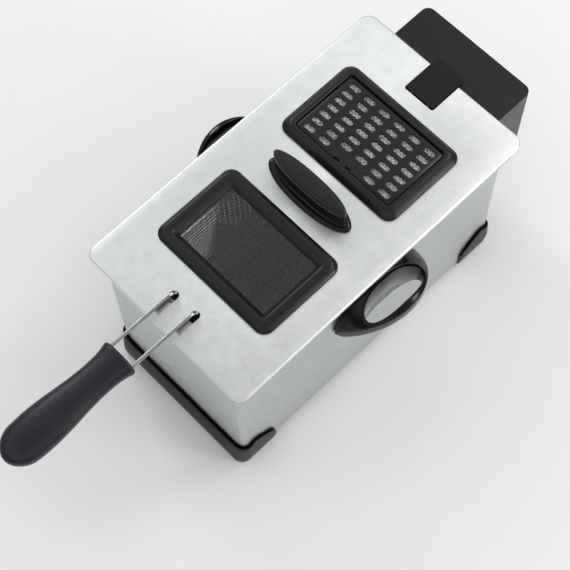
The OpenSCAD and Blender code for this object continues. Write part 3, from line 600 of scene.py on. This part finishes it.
def make_filter_mesh():
    """Knitted metal mesh: rows of looped wire, pressed into a crumpled mat."""
    low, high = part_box("mesh_filter")
    x0, y0 = low.x / MM + 1, low.y / MM - MID_Y + 1
    w, l = size_of("mesh_filter")[0] - 2, size_of("mesh_filter")[1] - 2
    base = low.z / MM
    shape = Shape()
    rows, per_loop, loop = 34, 8, 4.4
    for j in range(rows):
        path = []
        count = int(w / loop * per_loop)
        for k in range(count + 1):
            a = 2 * math.pi * k / per_loop
            x = x0 + w * k / count + 0.9 * math.sin(2 * a)
            y = y0 + l * (j + 0.5) / rows + 1.5 * math.sin(a + math.pi * (j % 2))
            crumple = noise.noise(Vector((x * 0.16, y * 0.16, j * 0.05)))
            z = base + 0.35 + 0.28 * (1 + math.cos(a * 2 + j)) * 0.5 + 0.35 * (crumple + 0.5)
            path.append(at(min(max(x, x0), x0 + w), min(max(y, y0), y0 + l), z))
        shape.tube(path, 0.28, 4)
    piece(shape.finish("filter_mesh", 60), "foil_steel", "lid", "mesh_filter", slot="bright_steel")


def lens_ring(a, b, y, z, steps=72, blunt=2.3, fill=0.55):
    """A lens outline with half length a and half width b, round at its ends."""
    points = []
    for k in range(steps):
        t = 2 * math.pi * k / steps
        c = math.cos(t)
        x = math.copysign(1 - (1 - abs(c)) ** 1.05, c)
        edge = (1 - abs(x) ** blunt) ** fill
        points.append(at(a * x, y + math.copysign(b * edge, math.sin(t)), z))
    return points


def make_lid_handle():
    """Low lens-shaped foot with an upright fin whose hollow sides give the fingers a hold."""
    y = 2.5
    foot = Shape()
    outline = [(55, 16.8, 0.02), (55, 16.8, 1.4), (54.7, 16.5, 2.4), (53.6, 15.5, 3.2),
               (51.8, 13.8, 3.9), (50.4, 12.6, 4.1)]
    foot.loft([lens_ring(a, b, y, LID_TOP + z) for a, b, z in outline])
    piece(foot.finish("lid_handle_foot"), "gloss_black", "lid", "lid_handle_base",
          slot="black_plastic")
    fin = Shape()
    levels = [(48.9, 10.2, 4.0), (48.2, 9.0, 4.6), (47.6, 8.1, 6.4), (47.2, 7.5, 10),
              (47.1, 7.3, 13.5), (47.4, 7.8, 17), (48.0, 8.8, 20), (48.5, 9.7, 22.3),
              (48.6, 10.0, 23.6), (48.4, 9.9, 24.5), (47.9, 9.3, 24.8), (47.2, 8.6, 24.9),
              (47.2, 8.6, 25.8), (47.9, 9.3, 25.9), (48.4, 9.8, 26.3), (48.5, 9.9, 27.3),
              (48.1, 9.5, 28.6), (47.1, 8.5, 29.5), (45.4, 6.9, 29.9), (42.6, 4.6, 30.0)]
    fin.loft([lens_ring(a, b, y, LID_TOP + z, 96, 2.4, 0.52) for a, b, z in levels])
    piece(fin.finish("lid_handle_fin", 50), "satin_black", "lid", "lid_handle_grip",
          slot="black_plastic")


# ---------------------------------------------------------------- housing and pot

WELL = (162, 317, 14)
WELL_Y = -9.5


def make_housing():
    """Folded sheet steel with an inward flange round the pot's opening."""
    w, l, _ = size_of("housing")
    low, top = HOUSING_LOW.z / MM, HOUSING_HIGH.z / MM
    corner, sheet, bend = 7, 0.8, 1.6
    rings = [ring(w, l, corner, low), ring(w, l, corner, top - bend)]
    for i in range(1, 5):
        a = math.radians(90 * i / 4)
        inset = bend * (1 - math.cos(a))
        rings.append(ring(w - 2 * inset, l - 2 * inset, corner - inset,
                          top - bend + bend * math.sin(a)))
    mouth = (WELL[0] + 3, WELL[1] + 3, WELL[2] + 1.5)
    rings.append(ring(*mouth, top, WELL_Y))
    rings.append(ring(*mouth, top - sheet, WELL_Y))
    rings.append(ring(w - 2 * sheet - 1, l - 2 * sheet - 1, corner - sheet, top - sheet))
    rings.append(ring(w - 2 * sheet, l - 2 * sheet, corner - sheet, top - bend))
    rings.append(ring(w - 2 * sheet, l - 2 * sheet, corner - sheet, low))
    shape = Shape()
    shape.loft(rings, closed=True)
    piece(shape.finish("housing_shell"), "steel", "root", "housing")


def make_pot():
    """Deep-drawn pot with a round bottom edge, a rolled rim and two level lines."""
    low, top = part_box("oil_pot")
    low, top = low.z / MM, top.z / MM
    rim_w, rim_l, _ = size_of("oil_pot")
    w, l, corner = WELL
    rings = []
    round_r, wall = 11, 1.0
    for i in range(6):
        a = math.radians(90 * i / 5)
        inset = round_r * (1 - math.sin(a))
        rings.append(ring(w - 2 * inset, l - 2 * inset, corner - 0.3 * inset,
                          low + round_r * (1 - math.cos(a)), WELL_Y))
    rings.append(ring(w, l, corner, top - wall - 0.02, WELL_Y))
    rings.append(ring(rim_w - 1, rim_l - 1, 6, top - wall))
    rings.append(ring(rim_w, rim_l, 6, top - wall / 2))
    rings.append(ring(rim_w - 1, rim_l - 1, 6, top))
    rings.append(ring(w + 1.5, l + 1.5, corner + 0.7, top, WELL_Y))
    rings.append(ring(w - 0.6, l - 0.6, corner - 0.3, top - 0.5, WELL_Y))
    for z, out in ((top - 3, 0), (167, 0), (166.2, 0.7), (165.4, 0), (132, 0), (131.2, 0.7), (130.4, 0)):
        rings.append(ring(w - 2 * wall - out, l - 2 * wall - out, corner - wall, z, WELL_Y))
    for i in range(6):
        a = math.radians(90 * (5 - i) / 5)
        inset = wall + (round_r - wall) * (1 - math.sin(a))
        rings.append(ring(w - 2 * inset, l - 2 * inset, corner - 0.3 * inset,
                          low + wall + (round_r - wall) * (1 - math.cos(a)), WELL_Y))
    shape = Shape()
    shape.loft(rings)
    piece(shape.finish("fryer_pot"), "dark_steel", "pot", "oil_pot")


# ---------------------------------------------------------------- basket

def bent_path(points, radius, steps=5):
    """A path through corner points in mm, with each inner corner rounded."""
    points = [Vector(p) for p in points]
    path = [points[0]]
    for before, corner, after in zip(points, points[1:], points[2:]):
        start = corner + (before - corner).normalized() * radius
        end = corner + (after - corner).normalized() * radius
        for i in range(steps + 1):
            t = i / steps
            path.append(start * (1 - t) ** 2 + corner * 2 * t * (1 - t) + end * t ** 2)
    path.append(points[-1])
    return [at(*p) for p in path]


def make_basket():
    """Welded wire basket: crossing wires that run down one wall and up the other, and hoops."""
    low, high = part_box("basket_mesh")
    x1 = high.x / MM - 0.7
    y0, y1 = low.y / MM - MID_Y + 0.7, high.y / MM - MID_Y - 0.7
    z0, z1 = low.z / MM + 0.7, high.z / MM + 1.5
    corner, fine, sturdy, pitch = 9.5, 0.55, 1.1, 6.6
    mesh = Shape()

    def inset(distance):
        """How far the rounded upright corner steps in, at a distance from the end wall."""
        short = max(0.0, corner - distance)
        return corner - math.sqrt(corner ** 2 - short ** 2)

    across = int((y1 - y0) / pitch)
    for i in range(1, across):
        y = y0 + (y1 - y0) * i / across
        x = x1 - inset(min(y - y0, y1 - y))
        mesh.tube(bent_path([(-x, y, z1), (-x, y, z0), (x, y, z0), (x, y, z1)], 9), fine, 5)
    along = int(2 * x1 / pitch)
    for i in range(1, along):
        x = -x1 + 2 * x1 * i / along
        step = inset(x1 - abs(x))
        mesh.tube(bent_path([(x, y0 + step, z1), (x, y0 + step, z0 + 1), (x, y1 - step, z0 + 1),
                             (x, y1 - step, z1)], 9), fine, 5)
    levels = int((z1 - z0) / pitch)
    for i in range(1, levels):
        z = z0 + 9 + (z1 - z0 - 9) * (i - 1) / (levels - 1)
        mesh.tube(ring(2 * x1 - 1.2, y1 - y0 - 1.2, corner, z, (y0 + y1) / 2), fine, 5, closed=True)
    for z, step in ((z1 - 14, 0.6), (z0 + 9, 0.6)):
        mesh.tube(ring(2 * x1 - 2 * step - 1, y1 - y0 - 2 * step - 1, corner, z, (y0 + y1) / 2),
                  sturdy, 8, closed=True)
    piece(mesh.finish("wire_basket", 60), "bright_steel", "basket", "basket_mesh")

    rim_low, rim_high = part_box("basket_rim")
    rim_w, rim_l, rim_h = size_of("basket_rim")
    rim = Shape()
    rim.tube(ring(rim_w - rim_h, rim_l - rim_h, 9, rim_low.z / MM + rim_h / 2,
                  (rim_low.y + rim_high.y) / 2 / MM - MID_Y), rim_h / 2 - 0.05, 12, closed=True)
    piece(rim.finish("basket_rim_wire"), "bright_steel", "basket", "basket_rim")


WIRE_Y = -161
WIRE_Z = 241
GRIP_FRONT = -241


def make_handle_wires():
    """Two stout wires that rise from the basket, turn forward and end inside the grip."""
    wires = Shape()
    for x in (-WIRE_X, WIRE_X):
        path = [(x, WIRE_Y, 140), (x, WIRE_Y, WIRE_Z), (x, GRIP_FRONT - 15, WIRE_Z)]
        wires.tube(bent_path(path, 8, 10), 1.98, 18)
    piece(wires.finish("handle_wire_pair"), "wire_chrome", "basket", "handle_wires",
          slot="bright_steel")


def make_grip():
    """Soft oval grip with a waist behind its end face and a fuller rear."""
    length = size_of("basket_grip")[1]
    shape = Shape()
    rings = []
    shares = [(0.0, 0.80), (0.002, 0.88), (0.008, 0.95), (0.018, 0.99), (0.03, 1.0)]
    shares += [(0.03 + 0.97 * math.sin(math.radians(90 * i / 34)), 1.0) for i in range(1, 35)]
    for s, scale in shares:
        wave = math.cos(2 * math.pi * (s - 0.22))
        end = math.sqrt(max(0.0004, 1 - max(0.0, (s - 0.84) / 0.16) ** 2))
        flare = max(0.0, 1 - 9 * s) ** 1.5
        half_w = (19.5 - 2.5 * wave + 2.4 * flare) * scale * end
        half_h = (10.9 - 1.1 * wave + 0.6 * flare) * scale * (0.25 + 0.75 * end) * end ** 0.2
        points = []
        for k in range(48):
            t = 2 * math.pi * k / 48
            c, d = math.cos(t), math.sin(t)
            points.append(at(math.copysign(half_w * abs(c) ** 0.84, c), GRIP_FRONT - s * length,
                             WIRE_Z + math.copysign(half_h * abs(d) ** 0.84, d)))
        rings.append(points)
    shape.loft(rings)
    piece(shape.finish("grip", 60), "soft_black", "basket", "basket_grip")


# ---------------------------------------------------------------- side handles

HANDLE_LOW, HANDLE_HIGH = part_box("side_handle_right")
WALL_X = HOUSING_HIGH.x / MM
HANDLE_Y = (HANDLE_LOW.y + HANDLE_HIGH.y) / 2 / MM - MID_Y
HANDLE_HALF = (HANDLE_HIGH.y - HANDLE_LOW.y) / 2 / MM
HANDLE_BASE = HANDLE_LOW.z / MM
REACH = HANDLE_HIGH.x / MM - WALL_X
PLAN_R = (HANDLE_HALF ** 2 + REACH ** 2) / (2 * REACH)
ARCH_RISE = HANDLE_HIGH.z / MM - HANDLE_BASE - 2
ARCH_R = (HANDLE_HALF ** 2 + ARCH_RISE ** 2) / (2 * ARCH_RISE)
DROOP = math.tan(math.radians(13))
UNDERSIDE = math.tan(math.radians(42))                 # how steeply the lower edge rises outward
LEVEL_PART = 10                                        # width of the level underside at the wall
EDGE_DEPTH = 9                                         # height of the handle's outer edge
FINGER = (31, 78)                                      # width and length of the finger tunnel
FINGER_X = WALL_X + 23.5


def arch_height(x, y):
    """Height of the handle's upper face, with y measured from the handle's own middle."""
    crown = HANDLE_HIGH.z / MM - ARCH_R
    across = math.sqrt(max(0.0, ARCH_R ** 2 - y * y))
    return max(crown + across - (x - WALL_X) * DROOP, HANDLE_BASE + 1.5)


def underside_height(x, y):
    """Height of the handle's lower edge: level beside the wall, then rising outward."""
    rise = max(0.0, x - WALL_X - LEVEL_PART) * UNDERSIDE
    return max(HANDLE_BASE, min(HANDLE_BASE + rise, arch_height(x, y) - EDGE_DEPTH))


def handle_edge(angle):
    """Plan distance from the finger hole's middle to the outer edge, along an angle."""
    dx, dy = math.cos(angle), math.sin(angle)
    centre = WALL_X + REACH - PLAN_R - FINGER_X
    b = -centre * dx
    reach = -b + math.sqrt(b * b - centre * centre + PLAN_R ** 2)
    if dx < 0:
        reach = min(reach, (WALL_X + 0.2 - FINGER_X) / dx)
    return reach


def finger_edge(angle):
    """Plan distance from the finger hole's middle to its rim, along an angle."""
    dx, dy = abs(math.cos(angle)), abs(math.sin(angle))
    power = 2.15
    return ((2 * dx / FINGER[0]) ** power + (2 * dy / FINGER[1]) ** power) ** (-1 / power)


def make_side_handle(side):
    """Deep arched handle, swept round its finger tunnel: skirt, shoulder, top, lip and tunnel wall."""
    steps, skin, draft = 144, 2.4, 2.4
    shoulder = ((1.0, 0.45, 3.6), (1.0, 0.8, 2.6), (0.99, 1, 1.5), (0.96, 1, 0.5), (0.90, 1, 0.1),
                (0.7, 1, 0), (0.45, 1, 0), (0.30, 1, 0))
    lip = ((2.5, 0), (2.2, 0.5), (1.8, 0.95), (1.3, 1.1), (0.8, 0.9), (0.35, 0.3), (-0.3, -0.9))
    sections = []
    for k in range(steps):
        angle = 2 * math.pi * k / steps
        inner, outer = finger_edge(angle), handle_edge(angle)

        def top(reach):
            return arch_height(FINGER_X + reach * math.cos(angle), reach * math.sin(angle))

        def base(reach):
            return underside_height(FINGER_X + reach * math.cos(angle), reach * math.sin(angle))

        low = base(outer)
        section = [(outer - skin, low), (outer - 0.6, low), (outer, low + 0.5)]
        for share, rise, drop in shoulder:
            reach = inner + (outer - inner) * share
            section.append((reach, max(low + (top(reach) - low) * rise - drop, low + 0.7)))
        for out, rise in lip:
            reach = inner + min(out, (outer - inner) * 0.28)
            section.append((reach, max(top(reach) + rise, low + 0.9)))
        foot = base(inner)
        section += [(inner - 1.2, max(top(inner) - 2.6, foot + 1.1)), (inner - draft, foot + 0.6),
                    (inner - draft + 0.4, foot), (inner - draft + skin, foot),
                    (inner + 0.3, max(top(inner) - 6, foot + 0.5)),
                    (outer - skin - 0.4, max(top(outer) - 6, low + 0.5))]
        points = []
        for reach, z in section:
            x = FINGER_X + reach * math.cos(angle)
            y = HANDLE_Y + reach * math.sin(angle)
            points.append(at(side * max(x, WALL_X + 0.1), y, z))
        sections.append(points)
    shape = Shape()
    shape.loft(sections, closed=True)
    name = "right" if side > 0 else "left"
    piece(shape.finish("grab_handle_" + name, 38), "gloss_black", "root", "side_handle_" + name,
          slot="black_plastic")


# ---------------------------------------------------------------- feet

def shoe_outline(reach, corner):
    """Half an outline round one end of the housing, from a foot's tip to the middle of the bar.

    Each entry is a place on the wall, the direction outward there, how far along the corner it is
    (0 on the side wall, 1 on the end wall) and its distance from the start of the corner."""
    half_w, half_l = size_of("housing")[0] / 2, size_of("housing")[1] / 2
    entries = []
    for i in range(25):
        run = reach * (0.5 + 0.5 * math.cos(math.pi * i / 24))
        entries.append(((half_w, -half_l + corner + run), (1, 0), 0.0, run))
    for i in range(1, 12):
        a = math.radians(90 * i / 12)
        place = (half_w - corner * (1 - math.cos(a)), -half_l + corner * (1 - math.sin(a)))
        entries.append((place, (math.cos(a), -math.sin(a)), i / 12, 0.0))
    for i in range(17):
        run = (half_w - corner) * i / 16
        entries.append(((half_w - corner - run, -half_l), (0, -1), 1.0, run))
    return entries


def shoe_height(turned, run, reach):
    """Height of the upper edge: a hump on the side wall, lower at the corner and along the bar."""
    hump, corner_top, bar = 47.5, 44.0, 32.0
    if turned >= 1:
        return bar + 6 * math.exp(-run / 5)
    if turned > 0:
        return corner_top - (corner_top - bar - 6) * turned ** 1.5
    rise = corner_top + (hump - corner_top) * min(1.0, run / 6)
    fall = max(0.0, (run - 7) / (reach - 7))
    height = rise - 23 * fall ** 1.3
    tip = max(0.0, 1 - (reach - run) / 4.5)
    return 1.2 + (height - 1.2) * math.sqrt(max(0.0, 1 - 0.96 * tip ** 2))


def make_shoe(name, turn_round, node):
    """Moulded bar across one end of the housing that swells into a foot at each corner."""
    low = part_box(node)[0].z / MM
    corner, reach = 7.0, 37.0
    half = shoe_outline(reach, corner)
    whole = [((x, y), n, turned, run) for (x, y), n, turned, run in half]
    whole += [((-x, y), (-nx, ny), turned, run)
              for (x, y), (nx, ny), turned, run in reversed(half[:-1])]
    flip = -1 if turn_round else 1
    rows = []
    for (x, y), (nx, ny), turned, run in whole:
        height = shoe_height(turned, run, reach)
        end = 1 - 0.75 * max(0.0, 1 - (reach - run) / 6) ** 2 if turned == 0 else 1
        swell = (3.4 + 5.0 * turned ** 1.5) * end
        foot = (1.6 + 5.8 * turned ** 1.5) * end
        lip = (3.3 + 0.7 * turned) * end
        gap = 0.62 * lip
        knee = (0.60 - 0.36 * turned) * height
        rise = height - knee
        # distance out from the wall and height; the last four leave a narrow gap behind the lip
        profile = [(0.05, low), (foot - 0.7, low), (foot, low + 0.7), (swell - 0.3, knee * 0.6 + 1),
                   (swell, knee), (lip + 0.62 * (swell - lip), knee + 0.45 * rise),
                   (lip + 0.25 * (swell - lip), knee + 0.75 * rise),
                   (lip, height - 1.0), (lip - 0.3, height - 0.3), (lip - 0.6, height),
                   (gap + 0.3, height), (gap, height - 0.5), (gap, low + 0.72 * (height - low)),
                   (0.05, low + 0.66 * (height - low))]
        rows.append([at(flip * (x + nx * out), flip * (y + ny * out), z) for out, z in profile])
    shape = Shape()
    shape.loft(rows)
    # ledges that the housing stands on, under its end wall and beside the foot screws
    ledges = [((-93, -188), (93, -173)), ((-93, -173.2), (-69, -147)), ((69, -173.2), (93, -147))]
    for (x0, y0), (x1, y1) in ledges:
        xs, ys = sorted((flip * x0, flip * x1)), sorted((flip * y0, flip * y1))
        shape.block((xs[0], ys[0], low + 0.05), (xs[1], ys[1], HOUSING_LOW.z / MM - 0.05))
    piece(shape.finish(name, 40), "foot_black", "root", node, slot="black_plastic")


# ---------------------------------------------------------------- control unit

def make_knob():
    """Fluted thermostat knob with a pointer, on a ring of scale marks."""
    low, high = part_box("thermostat_knob")
    centre = ((low.x + high.x) / 2 / MM, (low.z + high.z) / 2 / MM)
    start, depth, radius = low.y / MM - MID_Y, size_of("thermostat_knob")[1], 19
    flutes, per = 24, 6
    shape = Shape()
    rings = []
    levels = [(0.0, 0.97, 0), (0.6, 1.0, 0), (2.2, 1.0, 0), (2.8, 0.95, 0), (3.4, 0.93, 1),
              (depth - 3.6, 0.88, 1), (depth - 2.0, 0.85, 1), (depth - 0.9, 0.80, 0.4),
              (depth - 0.2, 0.72, 0), (depth, 0.66, 0), (depth - 0.5, 0.60, 0)]
    for y, share, flute in levels:
        points = []
        for k in range(flutes * per):
            a = 2 * math.pi * k / (flutes * per)
            r = radius * share - 0.55 * flute * (1 + math.cos(a * flutes)) / 2
            points.append(at(centre[0] + r * math.cos(a), start + y, centre[1] + r * math.sin(a)))
        rings.append(points)
    shape.loft(rings)
    piece(shape.finish("knob"), "black_plastic", "knob", "thermostat_knob")
    pointer = Shape()
    pointer.block((centre[0] - 0.7, start + depth - 0.9, centre[1] + 3),
                  (centre[0] + 0.7, start + depth - 0.25, centre[1] + 13))
    piece(pointer.finish("knob_pointer"), "ceramic", "knob")
    marks = Shape()
    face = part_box("control_housing")[1].y / MM - MID_Y
    for k in range(13):
        a = math.radians(90 + 240 * k / 12)
        big = 1.5 if k % 3 == 0 else 0.8
        inner, outer = 21, 22.2 + big
        c, d = math.cos(a), math.sin(a)
        marks.tube([at(centre[0] + inner * c, face + 0.05, centre[1] + inner * d),
                    at(centre[0] + outer * c, face + 0.05, centre[1] + outer * d)], 0.35, 6)
    piece(marks.finish("scale_marks"), "ceramic", "control")


# ---------------------------------------------------------------- build

set_tones()
make_camera()
make_studio()
make_floor()
dress_cad_nodes()
make_lid_panel()
make_window_frame()
make_filter_frame()
make_filter_cover()
make_filter_mesh()
make_lid_handle()
make_housing()
make_pot()
make_basket()
make_handle_wires()
make_grip()
make_side_handle(1)
make_side_handle(-1)
make_shoe("front_shoe", False, "base_front")
make_shoe("rear_shoe", True, "base_rear")
make_knob()
